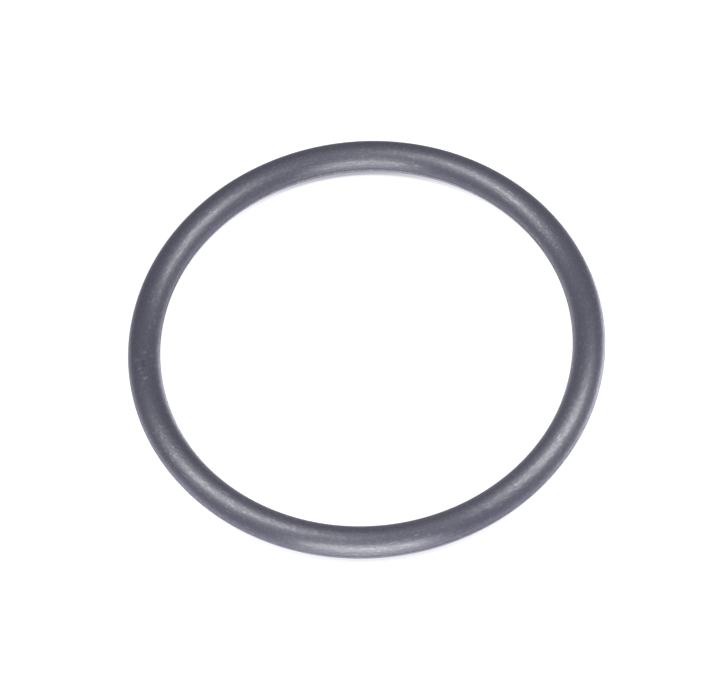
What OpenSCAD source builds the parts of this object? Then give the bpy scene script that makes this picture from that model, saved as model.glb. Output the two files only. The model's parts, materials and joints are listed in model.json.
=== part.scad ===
// O-ring: one closed ring of moulded rubber with a round section.
// The two mould halves met at the ring's middle plane. Where they met, a trimmed
// flash land stands a hair proud all round the inside and all round the outside.
// The origin is the ring's centre, the ring lies flat in XY and its axis is +Z.

/* [Ring] */
// Inside diameter of the ring, between the round section's inner faces
inside_d = 39; // [20:0.5:80]
// Diameter of the round section
section_d = 3; // [1.5:0.1:6]

/* [Parting line] */
// Width of the trimmed flash land, measured along the ring's axis
land_w = 0.14; // [0.06:0.02:0.3]
// How far the land stands proud of the round section
land_h = 0.03; // [0.01:0.01:0.08]

/* [Appearance] */
// Colour of the rubber
rubber_colour = "#4c4d59";

/* [Hidden] */
// Radius from the ring's axis to the middle of its section
ring_r = (inside_d + section_d) / 2;
$fn = 128;

// The mould's round cavity, drawn about the middle of the section
module round_section() {
    circle(d = section_d);
}

// What is left of the flash where the mould halves met, inside and outside
module parting_land() {
    square([section_d + 2 * land_h, land_w], center = true);
}

// The whole ring, turned about its axis in one piece
module o_ring() {
    color(rubber_colour)
        rotate_extrude()
            translate([ring_r, 0]) {
                round_section();
                parting_land();
            }
}

o_ring();
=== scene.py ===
"""An o-ring of moulded nitrile rubber, lying flat on a white table under three soft lamps."""

import json
from math import cos, pi, radians, sin

import bpy
from mathutils import Matrix, Vector


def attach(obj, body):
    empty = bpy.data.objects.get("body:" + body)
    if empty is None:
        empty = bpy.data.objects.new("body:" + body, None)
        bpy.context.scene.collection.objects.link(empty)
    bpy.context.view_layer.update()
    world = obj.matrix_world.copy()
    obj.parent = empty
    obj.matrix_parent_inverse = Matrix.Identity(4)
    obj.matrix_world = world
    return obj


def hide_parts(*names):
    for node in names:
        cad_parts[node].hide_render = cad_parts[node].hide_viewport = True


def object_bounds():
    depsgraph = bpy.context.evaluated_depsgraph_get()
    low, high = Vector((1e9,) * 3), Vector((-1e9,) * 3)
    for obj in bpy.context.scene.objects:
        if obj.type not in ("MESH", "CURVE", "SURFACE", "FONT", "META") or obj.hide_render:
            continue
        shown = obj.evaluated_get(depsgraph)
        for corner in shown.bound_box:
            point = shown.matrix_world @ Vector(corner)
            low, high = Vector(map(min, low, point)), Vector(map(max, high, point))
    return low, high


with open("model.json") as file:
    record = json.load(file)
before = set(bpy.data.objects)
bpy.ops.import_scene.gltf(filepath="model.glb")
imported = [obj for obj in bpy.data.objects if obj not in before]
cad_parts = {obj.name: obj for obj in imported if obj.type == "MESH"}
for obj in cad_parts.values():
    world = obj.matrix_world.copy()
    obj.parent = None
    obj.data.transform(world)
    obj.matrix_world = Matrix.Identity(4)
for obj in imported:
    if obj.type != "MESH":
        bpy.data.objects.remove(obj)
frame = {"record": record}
cad_lo, cad_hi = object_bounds()

MM = 0.001

# Sizes of the ring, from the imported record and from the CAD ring's own box
mounts = {mount["name"]: mount for mount in frame["record"]["mounts"]}
inside_land_r = mounts["inside_seat"]["dims"]["r_mm"] * MM
outside_land_r = mounts["outside_seat"]["dims"]["r_mm"] * MM
land_w = mounts["outside_seat"]["dims"]["length_mm"] * MM
ring_r = (inside_land_r + outside_land_r) / 2
section_r = cad_hi.z
land_reach = min(cad_hi.x, cad_hi.y, -cad_lo.x, -cad_lo.y) - ring_r
floor_z = cad_lo.z

# How finely the ring is cut into faces, and how it is closed and smoothed
SECTION_SIDES = 68
RING_STEPS = 384
MERGE_WITHIN = 0.001 * MM
SMOOTH_UNDER = radians(40)

# The camera, found from both outlines of the ring in the photograph
PHOTO_W = 720
FOCAL_PX = 3796.6
SENSOR_W = 36
CLIP_START = 10 * MM
CAMERA_AZIMUTH = radians(-90)
CAMERA_ELEVATION = radians(59.96)
CAMERA_ROLL = radians(-6.45)
CAMERA_DISTANCE = 17.05 * ring_r
RING_RIGHT_OF_MIDDLE = 0.0265 * ring_r
RING_ABOVE_MIDDLE = 0.0281 * ring_r

# The plain light: what the lamps and the room give a level face, where 1 shows a colour as it is written
LAMP_LIGHT = 1.012
ROOM_LIGHT = 0.187
LAMP_WHITE = "#fdfcff"

# The lamps, with sizes in millimetres and angles in degrees. Each is turned about its line to the ring and
# leant back from facing it, and gives its share of the lamps' light
LAMPS = (
    {"name": "right_lamp", "azimuth": 4.6, "elevation": 51.9, "distance": 189.6,
     "width": 70.3, "height": 173.4, "turn": -0.6, "lean": -60.4, "share": 0.385},
    {"name": "left_lamp", "azimuth": 168.6, "elevation": 59.1, "distance": 270.9,
     "width": 31.2, "height": 243.7, "turn": 10.8, "lean": -52.9, "share": 0.408},
    {"name": "front_lamp", "azimuth": 262.3, "elevation": 12.4, "distance": 137.3,
     "width": 105.7, "height": 23.0, "turn": -6.1, "lean": -36.5, "share": 0.207},
)

# The table top itself
TABLE_W = 2000 * MM
TABLE_COLOUR = "#e6e4f1"
TABLE_ROUGHNESS = 0.4
TABLE_IOR = 1.5
PLAIN_WHITE = "#ffffff"

# The table is burnt out in the photograph: how much of it the eye sees as plain white, and how bright
WHITE_TO_EYE = 0.66
EYE_WHITE = 1.3

# Painted shade on the table: how much less white the eye sees in a painted shadow close under the ring,
# inside its back and outside its front. The painted shade is full up to so far from the ring's circle, gone
# from so far on, and fades to both sides by this power
BACK_PAINTED_SHADE = 0.44
FRONT_PAINTED_SHADE = 0.16
SHADE_STARTS = 1.08 * MM
SHADE_ENDS = 1.28 * MM
SHADE_FADES = 8

# Far out the eye sees nothing but plain white, so the table meets the white room without an edge
FAR_STARTS = 60 * MM
FAR_ENDS = 250 * MM

# Painted light on the table, a glow that is no lamp and that only the ring's reflections see: how much of
# the table the ring's own flanks see as this painted white, how bright it is beside the ring, and how far out
WHITE_TO_RING = 0.4
PAINTED_POOL_COLOUR = "#f6f6ff"
PAINTED_POOL_WHITE = 4.6
PAINTED_POOL_STARTS = 1 * MM
PAINTED_POOL_ENDS = 8 * MM

# Patches where that painted pool of light is brighter or dimmer, painted light and shade in the ring's
# reflections: ring angle, 1 outside the ring or -1 inside it, radius, and how much brighter. Each has its
# middle so far off the ring's circle
PAINTED_LIGHT_PATCHES = (
    (350, 1, 20 * MM, 2.5),
    (191, -1, 12 * MM, 1.5),
    (102, -1, 16 * MM, -0.3),
    (210, 1, 12 * MM, 0.5),
)
PAINTED_PATCH_OFF = 3 * MM

# Sizes of the marks in the rubber. The real ones are a few hundredths of a millimetre wide, which the
# photograph can't show, so they are drawn as wide as the finest ones that it does show. RAGGED is how far
# the outline of a fleck wanders
GRAIN = 0.18 * MM
CLOUD = 2.2 * MM
RAGGED = 0.3 * MM
NOISE_DETAIL = 1.0

# Marks that run round the ring: how long, how wide, and how far along the noise each kind is taken, so that
# no two kinds lie on the same spots
RUNS = {
    "specks": {"length": 0.28 * MM, "width": 0.17 * MM, "shift": 0.0},
    "glints": {"length": 0.7 * MM, "width": 0.16 * MM, "shift": 90.0},
    "lines": {"length": 6 * MM, "width": 0.3 * MM, "shift": 50.0},
}

# The plain rubber, and how much each kind of mark adds to it at its strongest: tone, gloss, roughness, and
# height in millimetres. A mark grows from nothing where its noise is at the start, up to full at FULL_NOISE
FULL_NOISE = 0.75
PLAIN = {"tone": 0.335, "gloss": 0.16, "rough": 0.445, "height": 0.0}
MARKS = {
    "grain": {"start": 0.25, "tone": 0.05, "gloss": 0.1, "rough": 0.0, "height": 0.002},
    "specks": {"start": 0.48, "tone": 0.0, "gloss": 0.48, "rough": -0.04, "height": 0.005},
    "glints": {"start": 0.66, "tone": 0.0, "gloss": 1.0, "rough": -0.06, "height": 0.008},
    "lines": {"start": 0.25, "tone": 0.09, "gloss": 0.0, "rough": -0.04, "height": 0.006},
    "clouds": {"start": 0.25, "tone": 0.12, "gloss": 0.0, "rough": -0.02, "height": 0.0},
    "torn": {"start": 0.48, "tone": 2.4, "gloss": 1.0, "rough": -0.08, "height": 0.0},
}

# The ragged edge where the flash was torn off inside the ring, just under the parting line
TORN_Z = -0.24 * MM
TORN_HALF_W = 0.14 * MM

# The scuff on the left of the ring, a small dark pit in a crescent of pale flecks, and two pale specks at
# the front: ring angle from the right by the back, section angle from the outside up, radius, and how pale
FLECKS = (
    (180.0, 90, 0.25 * MM, -1.0),
    (181.0, 91, 0.25 * MM, -0.9),
    (182.3, 84, 0.2 * MM, -0.4),
    (179.2, 63, 0.3 * MM, 0.9),
    (180.6, 70, 0.2 * MM, 0.5),
    (181.9, 75, 0.22 * MM, 0.8),
    (183.2, 80, 0.22 * MM, 0.7),
    (184.8, 91, 0.3 * MM, 0.9),
    (178.2, 125, 0.22 * MM, 0.9),
    (177.2, 97, 0.24 * MM, 0.8),
    (295.0, 25, 0.17 * MM, 1.5),
    (304.8, 77.5, 0.2 * MM, 1.5),
)

# What a fleck of paleness 1 adds to the tone and the gloss, and its height in millimetres; and how much of
# its radius is as pale as its middle
FLECK = {"tone": 0.4, "gloss": 0.35, "height": 0.01}
FLECK_CORE = 0.3

# Rubber itself: its colour at tone 0 and 1, and its shine at gloss 0 and 1. Its sheen is long across the
# turning marks and short along them, so it is stretched, and given a quarter turn from the marks
DARK_RUBBER = "#2b2b38"
PALE_RUBBER = "#4b4c5b"
DULL_SHINE = "#a6a6a6"
FULL_SHINE = "#ffffff"
RUBBER_IOR = 1.8
RUBBER_SHINE = 1.0
SHEEN_STRETCH = 0.705
QUARTER_TURN = 0.25


def linear(hex_colour):
    """An sRGB hex colour as linear red, green, blue and alpha"""
    shares = [int(hex_colour[i : i + 2], 16) / 255 for i in (1, 3, 5)]
    return [s / 12.92 if s <= 0.04045 else ((s + 0.055) / 1.055) ** 2.4 for s in shares] + [1.0]


def add_node(tree, kind, inputs=None, **settings):
    """Adds a node; each input is set to a value or, where a socket is given, linked to it"""
    node = tree.nodes.new(kind)
    for name, value in settings.items():
        setattr(node, name, value)
    for name, value in (inputs or {}).items():
        if isinstance(value, bpy.types.NodeSocket):
            tree.links.new(value, node.inputs[name])
        else:
            node.inputs[name].default_value = value
    return node


def new_material(name):
    """An empty material and its node tree"""
    material = bpy.data.materials.new(name)
    material.use_nodes = True
    material.node_tree.nodes.clear()
    return material, material.node_tree


def outward(azimuth, elevation=0.0):
    """The direction from the ring's centre at these angles"""
    level = cos(elevation)
    return Vector((level * cos(azimuth), level * sin(azimuth), sin(elevation)))


def turned_about(back, level_right, turn):
    """Right and up of something that looks at the ring, once it is turned about its line of sight"""
    right = level_right * cos(turn) + back.cross(level_right) * sin(turn)
    return right, back.cross(right)


def place_camera():
    """Looks down on the ring as the photograph does"""
    back = outward(CAMERA_AZIMUTH, CAMERA_ELEVATION)
    right, up = turned_about(back, Vector((1, 0, 0)), CAMERA_ROLL)
    place = back * CAMERA_DISTANCE - right * RING_RIGHT_OF_MIDDLE - up * RING_ABOVE_MIDDLE
    data = bpy.data.cameras.new("camera")
    data.sensor_width = SENSOR_W
    data.lens = FOCAL_PX / PHOTO_W * SENSOR_W
    data.clip_start = CLIP_START
    camera = bpy.data.objects.new("camera", data)
    camera.matrix_world = Matrix.Translation(place) @ Matrix((right, up, back)).transposed().to_4x4()
    bpy.context.scene.collection.objects.link(camera)
    bpy.context.scene.camera = camera


def soft_lamp(name, azimuth, elevation, distance, width, height, turn, lean, share):
    """A rectangle of light whose power gives a level face at the ring's centre its share of the light"""
    azimuth = radians(azimuth)
    elevation = radians(elevation)
    lean = radians(lean)
    distance = distance * MM
    back = outward(azimuth, elevation)
    right, up = turned_about(back, Vector((-sin(azimuth), cos(azimuth), 0)), radians(turn))
    up = up * cos(lean) + back * sin(lean)
    data = bpy.data.lights.new(name, "AREA")
    data.shape = "RECTANGLE"
    data.size = width * MM
    data.size_y = height * MM
    data.color = linear(LAMP_WHITE)[:3]
    data.energy = share * LAMP_LIGHT * pi**2 * distance**2 / (sin(elevation) * cos(lean))
    lamp = bpy.data.objects.new(name, data)
    axes = Matrix((right, up, right.cross(up))).transposed().to_4x4()
    lamp.matrix_world = Matrix.Translation(back * distance) @ axes
    lamp.visible_camera = False
    bpy.context.scene.collection.objects.link(lamp)


def light_the_room():
    """Three soft lamps near the ring, in a dim room that the camera sees as white"""
    for lamp in LAMPS:
        soft_lamp(**lamp)
    world = bpy.data.worlds.new("white_room")
    world.use_nodes = True
    tree = world.node_tree
    tree.nodes.clear()
    path = add_node(tree, "ShaderNodeLightPath")
    room = add_node(tree, "ShaderNodeBackground", {"Color": linear(PLAIN_WHITE), "Strength": ROOM_LIGHT})
    backdrop = add_node(tree, "ShaderNodeBackground", {"Color": linear(PLAIN_WHITE), "Strength": 1.0})
    seen = add_node(tree, "ShaderNodeMixShader", {0: path.outputs["Is Camera Ray"], 1: room.outputs[0],
                                                  2: backdrop.outputs[0]})
    add_node(tree, "ShaderNodeOutputWorld", {"Surface": seen.outputs[0]})
    bpy.context.scene.world = world


def about_the_axis(tree, place):
    """How far a place lies from the ring's axis, in which direction, and how high"""
    axes = add_node(tree, "ShaderNodeSeparateXYZ", {0: place})
    level = add_node(tree, "ShaderNodeCombineXYZ", {"X": axes.outputs["X"], "Y": axes.outputs["Y"]})
    reach = add_node(tree, "ShaderNodeVectorMath", {0: level.outputs[0]}, operation="LENGTH")
    heading = add_node(tree, "ShaderNodeVectorMath", {0: level.outputs[0]}, operation="NORMALIZE")
    return reach.outputs["Value"], heading.outputs[0], axes.outputs["Z"]


def white_table():
    """Satin white table top with painted light and shade: a painted pool of light beside the ring, seen only
    in the ring's reflections, brightens its lower flanks, and a painted shadow lies close under the ring
    """
    material, tree = new_material("white_table")
    top = add_node(tree, "ShaderNodeBsdfPrincipled", {"Base Color": linear(TABLE_COLOUR),
                                                      "Roughness": TABLE_ROUGHNESS, "IOR": TABLE_IOR})
    place = add_node(tree, "ShaderNodeTexCoord").outputs["Object"]
    reach, heading, _ = about_the_axis(tree, place)
    toward = add_node(tree, "ShaderNodeSeparateXYZ", {0: heading})
    off = add_node(tree, "ShaderNodeMath", {0: reach, 1: ring_r}, operation="SUBTRACT")
    gap = add_node(tree, "ShaderNodeMath", {0: off.outputs[0]}, operation="ABSOLUTE")
    side = add_node(tree, "ShaderNodeMath", {0: off.outputs[0]}, operation="SIGN")

    # a painted pool of light beside the ring, brightest near it and gone further out, with painted patches
    painted_pool = add_node(tree, "ShaderNodeMapRange", {"Value": gap.outputs[0], "From Min": PAINTED_POOL_STARTS,
                                                 "From Max": PAINTED_POOL_ENDS, "To Min": PAINTED_POOL_WHITE, "To Max": 0.0})
    boost = 1.0
    for ring_angle, which, radius, brighter in PAINTED_LIGHT_PATCHES:
        middle = outward(radians(ring_angle)) * (ring_r + which * PAINTED_PATCH_OFF)
        away = add_node(tree, "ShaderNodeVectorMath", {0: place, 1: middle}, operation="DISTANCE")
        painted_patch = add_node(tree, "ShaderNodeMapRange", {"Value": away.outputs["Value"], "From Min": radius,
                                                      "From Max": 0.0, "To Min": 0.0, "To Max": brighter},
                         interpolation_type="SMOOTHSTEP")
        its_side = add_node(tree, "ShaderNodeMath", {0: side.outputs[0], 1: which}, operation="MULTIPLY",
                            use_clamp=True)
        more = add_node(tree, "ShaderNodeMath", {0: painted_patch.outputs[0], 1: its_side.outputs[0], 2: boost},
                        operation="MULTIPLY_ADD")
        boost = more.outputs[0]
    painted_glow = add_node(tree, "ShaderNodeMath", {0: painted_pool.outputs[0], 1: boost}, operation="MULTIPLY")

    # the painted shade lies inside the back and outside the front, where the direction's Y and the side of
    # the ring have opposite signs
    close = add_node(tree, "ShaderNodeMapRange", {"Value": gap.outputs[0], "From Min": SHADE_STARTS,
                                                  "From Max": SHADE_ENDS, "To Min": 1.0, "To Max": 0.0})
    same_way = add_node(tree, "ShaderNodeMath", {0: toward.outputs["Y"], 1: side.outputs[0]},
                        operation="MULTIPLY")
    under = add_node(tree, "ShaderNodeMapRange", {"Value": same_way.outputs[0], "From Min": 0.0,
                                                  "From Max": -1.0, "To Min": 0.0, "To Max": 1.0})
    depth = add_node(tree, "ShaderNodeMapRange", {"Value": toward.outputs["Y"], "From Min": -1.0,
                                                  "From Max": 1.0, "To Min": -FRONT_PAINTED_SHADE,
                                                  "To Max": -BACK_PAINTED_SHADE})
    fades = add_node(tree, "ShaderNodeMath", {0: under.outputs[0], 1: SHADE_FADES}, operation="POWER")
    shade = add_node(tree, "ShaderNodeMath", {0: close.outputs[0], 1: fades.outputs[0]},
                     operation="MULTIPLY")
    open_table = add_node(tree, "ShaderNodeMapRange", {"Value": reach, "From Min": FAR_STARTS,
                                                       "From Max": FAR_ENDS, "To Min": WHITE_TO_EYE,
                                                       "To Max": 1.0})
    to_eye = add_node(tree, "ShaderNodeMath", {0: shade.outputs[0], 1: depth.outputs[0],
                                               2: open_table.outputs[0]}, operation="MULTIPLY_ADD")

    path = add_node(tree, "ShaderNodeLightPath")
    eye = add_node(tree, "ShaderNodeMath", {0: path.outputs["Is Camera Ray"],
                                            1: path.outputs["Is Transmission Ray"]}, operation="MAXIMUM")
    # the ring's reflections see the table with the painted glow; the eye sees it burnt out white, less white
    # in the painted shade
    looks = (
        (path.outputs["Is Glossy Ray"], WHITE_TO_RING, painted_glow.outputs[0], PAINTED_POOL_COLOUR),
        (eye.outputs[0], to_eye.outputs[0], EYE_WHITE, PLAIN_WHITE),
    )
    seen = top
    for ray, share, strength, tint in looks:
        white = add_node(tree, "ShaderNodeEmission", {"Color": linear(tint), "Strength": strength})
        amount = add_node(tree, "ShaderNodeMath", {0: ray, 1: share}, operation="MULTIPLY")
        seen = add_node(tree, "ShaderNodeMixShader", {0: amount.outputs[0], 1: seen.outputs[0],
                                                      2: white.outputs[0]})
    add_node(tree, "ShaderNodeOutputMaterial", {"Surface": seen.outputs[0]})
    return material


def lay_table():
    """The table top, a wide plain sheet under the ring"""
    bpy.ops.mesh.primitive_plane_add(size=TABLE_W, location=(0, 0, floor_z))
    table = bpy.context.object
    table.name = "table"
    table.data.materials.append(white_table())


def marks_round_the_ring(tree, reach, heading, height, length, width, shift):
    """Noise whose marks are so long round the ring and so wide across it; it closes without a seam"""
    along = add_node(tree, "ShaderNodeVectorMath", {0: heading, "Scale": ring_r / length}, operation="SCALE")
    across = add_node(tree, "ShaderNodeMath", {0: reach, 1: width}, operation="DIVIDE")
    aside = add_node(tree, "ShaderNodeCombineXYZ", {"Z": across.outputs[0]})
    spot = add_node(tree, "ShaderNodeVectorMath", {0: along.outputs[0], 1: aside.outputs[0]}, operation="ADD")
    rise = add_node(tree, "ShaderNodeMath", {0: height, 1: 1 / width, 2: shift}, operation="MULTIPLY_ADD")
    noise = add_node(tree, "ShaderNodeTexNoise", {"Vector": spot.outputs[0], "W": rise.outputs[0],
                                                  "Scale": 1.0, "Detail": NOISE_DETAIL},
                     noise_dimensions="4D")
    return noise.outputs[0]


def spot_on_ring(ring_angle, section_angle):
    """A point on the rubber"""
    reach = ring_r + section_r * cos(radians(section_angle))
    return outward(radians(ring_angle)) * reach + Vector((0, 0, section_r * sin(radians(section_angle))))


def moulded_nitrile_rubber():
    """Nitrile rubber filled with carbon black, pressed in a steel mould that was turned on a lathe.

    The turning marks run round the ring, so the sheen spreads across the section and is short along it,
    and shows fine lines round the ring with small bright specks in it. The flash was torn off at the
    parting line inside the ring, and left a pale ragged edge."""
    material, tree = new_material("moulded_nitrile_rubber")
    place = add_node(tree, "ShaderNodeTexCoord").outputs["Object"]
    reach, heading, height = about_the_axis(tree, place)
    fine = add_node(tree, "ShaderNodeTexNoise", {"Vector": place, "Scale": 1 / GRAIN,
                                                 "Detail": NOISE_DETAIL})
    clouds = add_node(tree, "ShaderNodeTexNoise", {"Vector": place, "Scale": 1 / CLOUD,
                                                   "Detail": NOISE_DETAIL})

    # the torn edge: at its own height, and nearer the axis than the middle of the section
    inside = add_node(tree, "ShaderNodeMath", {0: reach, 1: ring_r}, operation="LESS_THAN")
    low = add_node(tree, "ShaderNodeMath", {0: height, 1: TORN_Z, 2: TORN_HALF_W}, operation="COMPARE")
    torn_edge = add_node(tree, "ShaderNodeMath", {0: inside.outputs[0], 1: low.outputs[0]},
                         operation="MULTIPLY")
    torn = add_node(tree, "ShaderNodeMath", {0: fine.outputs[0], 1: torn_edge.outputs[0]},
                    operation="MULTIPLY")

    noises = {"grain": fine.outputs[0], "clouds": clouds.outputs[0], "torn": torn.outputs[0]}
    for kind, run in RUNS.items():
        noises[kind] = marks_round_the_ring(tree, reach, heading, height, **run)
    look = dict(PLAIN)
    for kind, mark in MARKS.items():
        grown = add_node(tree, "ShaderNodeMapRange", {"Value": noises[kind], "From Min": mark["start"],
                                                      "From Max": FULL_NOISE})
        for trait in PLAIN:
            if mark[trait]:
                more = add_node(tree, "ShaderNodeMath", {0: grown.outputs[0], 1: mark[trait], 2: look[trait]},
                                operation="MULTIPLY_ADD")
                look[trait] = more.outputs[0]

    # flecks have a ragged outline, because the place that their distance is taken from wanders
    wander = Vector((RAGGED, RAGGED, RAGGED))
    stray = add_node(tree, "ShaderNodeVectorMath", {0: fine.outputs["Color"], 1: wander, 2: place},
                     operation="MULTIPLY_ADD")
    for ring_angle, section_angle, radius, pale in FLECKS:
        middle = spot_on_ring(ring_angle, section_angle) + wander / 2
        away = add_node(tree, "ShaderNodeVectorMath", {0: stray.outputs[0], 1: middle}, operation="DISTANCE")
        near = add_node(tree, "ShaderNodeMapRange", {"Value": away.outputs["Value"], "From Min": radius,
                                                     "From Max": FLECK_CORE * radius})
        for trait, amount in FLECK.items():
            more = add_node(tree, "ShaderNodeMath", {0: near.outputs[0], 1: pale * amount, 2: look[trait]},
                            operation="MULTIPLY_ADD")
            look[trait] = more.outputs[0]

    # a Mix node's colours are its inputs 6 and 7 and its output 2
    colour = add_node(tree, "ShaderNodeMix", {0: look["tone"], 6: linear(DARK_RUBBER),
                                              7: linear(PALE_RUBBER)}, data_type="RGBA", clamp_factor=False)
    shine = add_node(tree, "ShaderNodeMix", {0: look["gloss"], 6: linear(DULL_SHINE),
                                             7: linear(FULL_SHINE)}, data_type="RGBA")
    bump = add_node(tree, "ShaderNodeBump", {"Height": look["height"], "Distance": MM})
    round_the_ring = add_node(tree, "ShaderNodeTangent", direction_type="RADIAL", axis="Z")
    rubber = add_node(tree, "ShaderNodeBsdfPrincipled", {
        "Base Color": colour.outputs[2],
        "Roughness": look["rough"],
        "IOR": RUBBER_IOR,
        "Specular IOR Level": RUBBER_SHINE,
        "Specular Tint": shine.outputs[2],
        "Anisotropic": SHEEN_STRETCH,
        "Anisotropic Rotation": QUARTER_TURN,
        "Tangent": round_the_ring.outputs[0],
        "Normal": bump.outputs[0],
    })
    add_node(tree, "ShaderNodeOutputMaterial", {"Surface": rubber.outputs[0]})
    return material


def deselect_all(mesh):
    """Clears the selection of every vertex, edge and face"""
    for part in (mesh.vertices, mesh.edges, mesh.polygons):
        for item in part:
            item.select = False


def mould_ring():
    """One closed ring: a round section with a trimmed land at the parting line, spun about the axis"""
    bpy.ops.object.select_all(action="DESELECT")
    # turned by half of one side's angle, so that an upright side faces the axis and another faces outwards
    half_side = pi / SECTION_SIDES
    bpy.ops.mesh.primitive_circle_add(vertices=SECTION_SIDES, radius=section_r, location=(ring_r, 0, 0),
                                      rotation=(pi / 2, half_side, 0))
    ring = bpy.context.object
    ring.name = "moulded_ring"
    bpy.ops.object.transform_apply(location=True, rotation=True, scale=True)
    mesh = ring.data
    upright_x = section_r * cos(half_side)
    upright_w = 2 * section_r * sin(half_side)
    next_corner_x = section_r * cos(3 * half_side)
    for side in (1, -1):
        deselect_all(mesh)
        for edge in mesh.edges:
            reach = [side * (mesh.vertices[i].co.x - ring_r) for i in edge.vertices]
            if min(reach) > (upright_x + next_corner_x) / 2:
                edge.select = True
                for i in edge.vertices:
                    mesh.vertices[i].select = True
        bpy.ops.object.mode_set(mode="EDIT")
        bpy.ops.transform.resize(value=(1, 1, land_w / upright_w))
        bpy.ops.mesh.extrude_region_move(
            TRANSFORM_OT_translate={"value": (side * (land_reach - upright_x), 0, 0)})
        bpy.ops.object.mode_set(mode="OBJECT")
    # the two sides that the land was pulled from are now inside the rubber, so they go
    deselect_all(mesh)
    for edge in mesh.edges:
        reach = [abs(mesh.vertices[i].co.x - ring_r) for i in edge.vertices]
        level = [mesh.vertices[i].co.z for i in edge.vertices]
        edge.select = max(reach) < section_r and level[0] * level[1] < 0
    bpy.ops.object.mode_set(mode="EDIT")
    bpy.ops.mesh.select_mode(type="EDGE")
    bpy.ops.mesh.delete(type="EDGE")
    bpy.ops.mesh.select_all(action="SELECT")
    bpy.ops.mesh.spin(steps=RING_STEPS, angle=2 * pi, center=(0, 0, 0), axis=(0, 0, 1))
    bpy.ops.mesh.select_all(action="SELECT")
    bpy.ops.mesh.remove_doubles(threshold=MERGE_WITHIN)
    bpy.ops.mesh.normals_make_consistent(inside=False)
    bpy.ops.object.mode_set(mode="OBJECT")
    bpy.ops.object.shade_smooth_by_angle(angle=SMOOTH_UNDER)
    ring.data.materials.append(moulded_nitrile_rubber())
    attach(ring, "root")
    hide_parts("o_ring")


bpy.context.scene.view_settings.view_transform = "Standard"
place_camera()
light_the_room()
lay_table()
mould_ring()
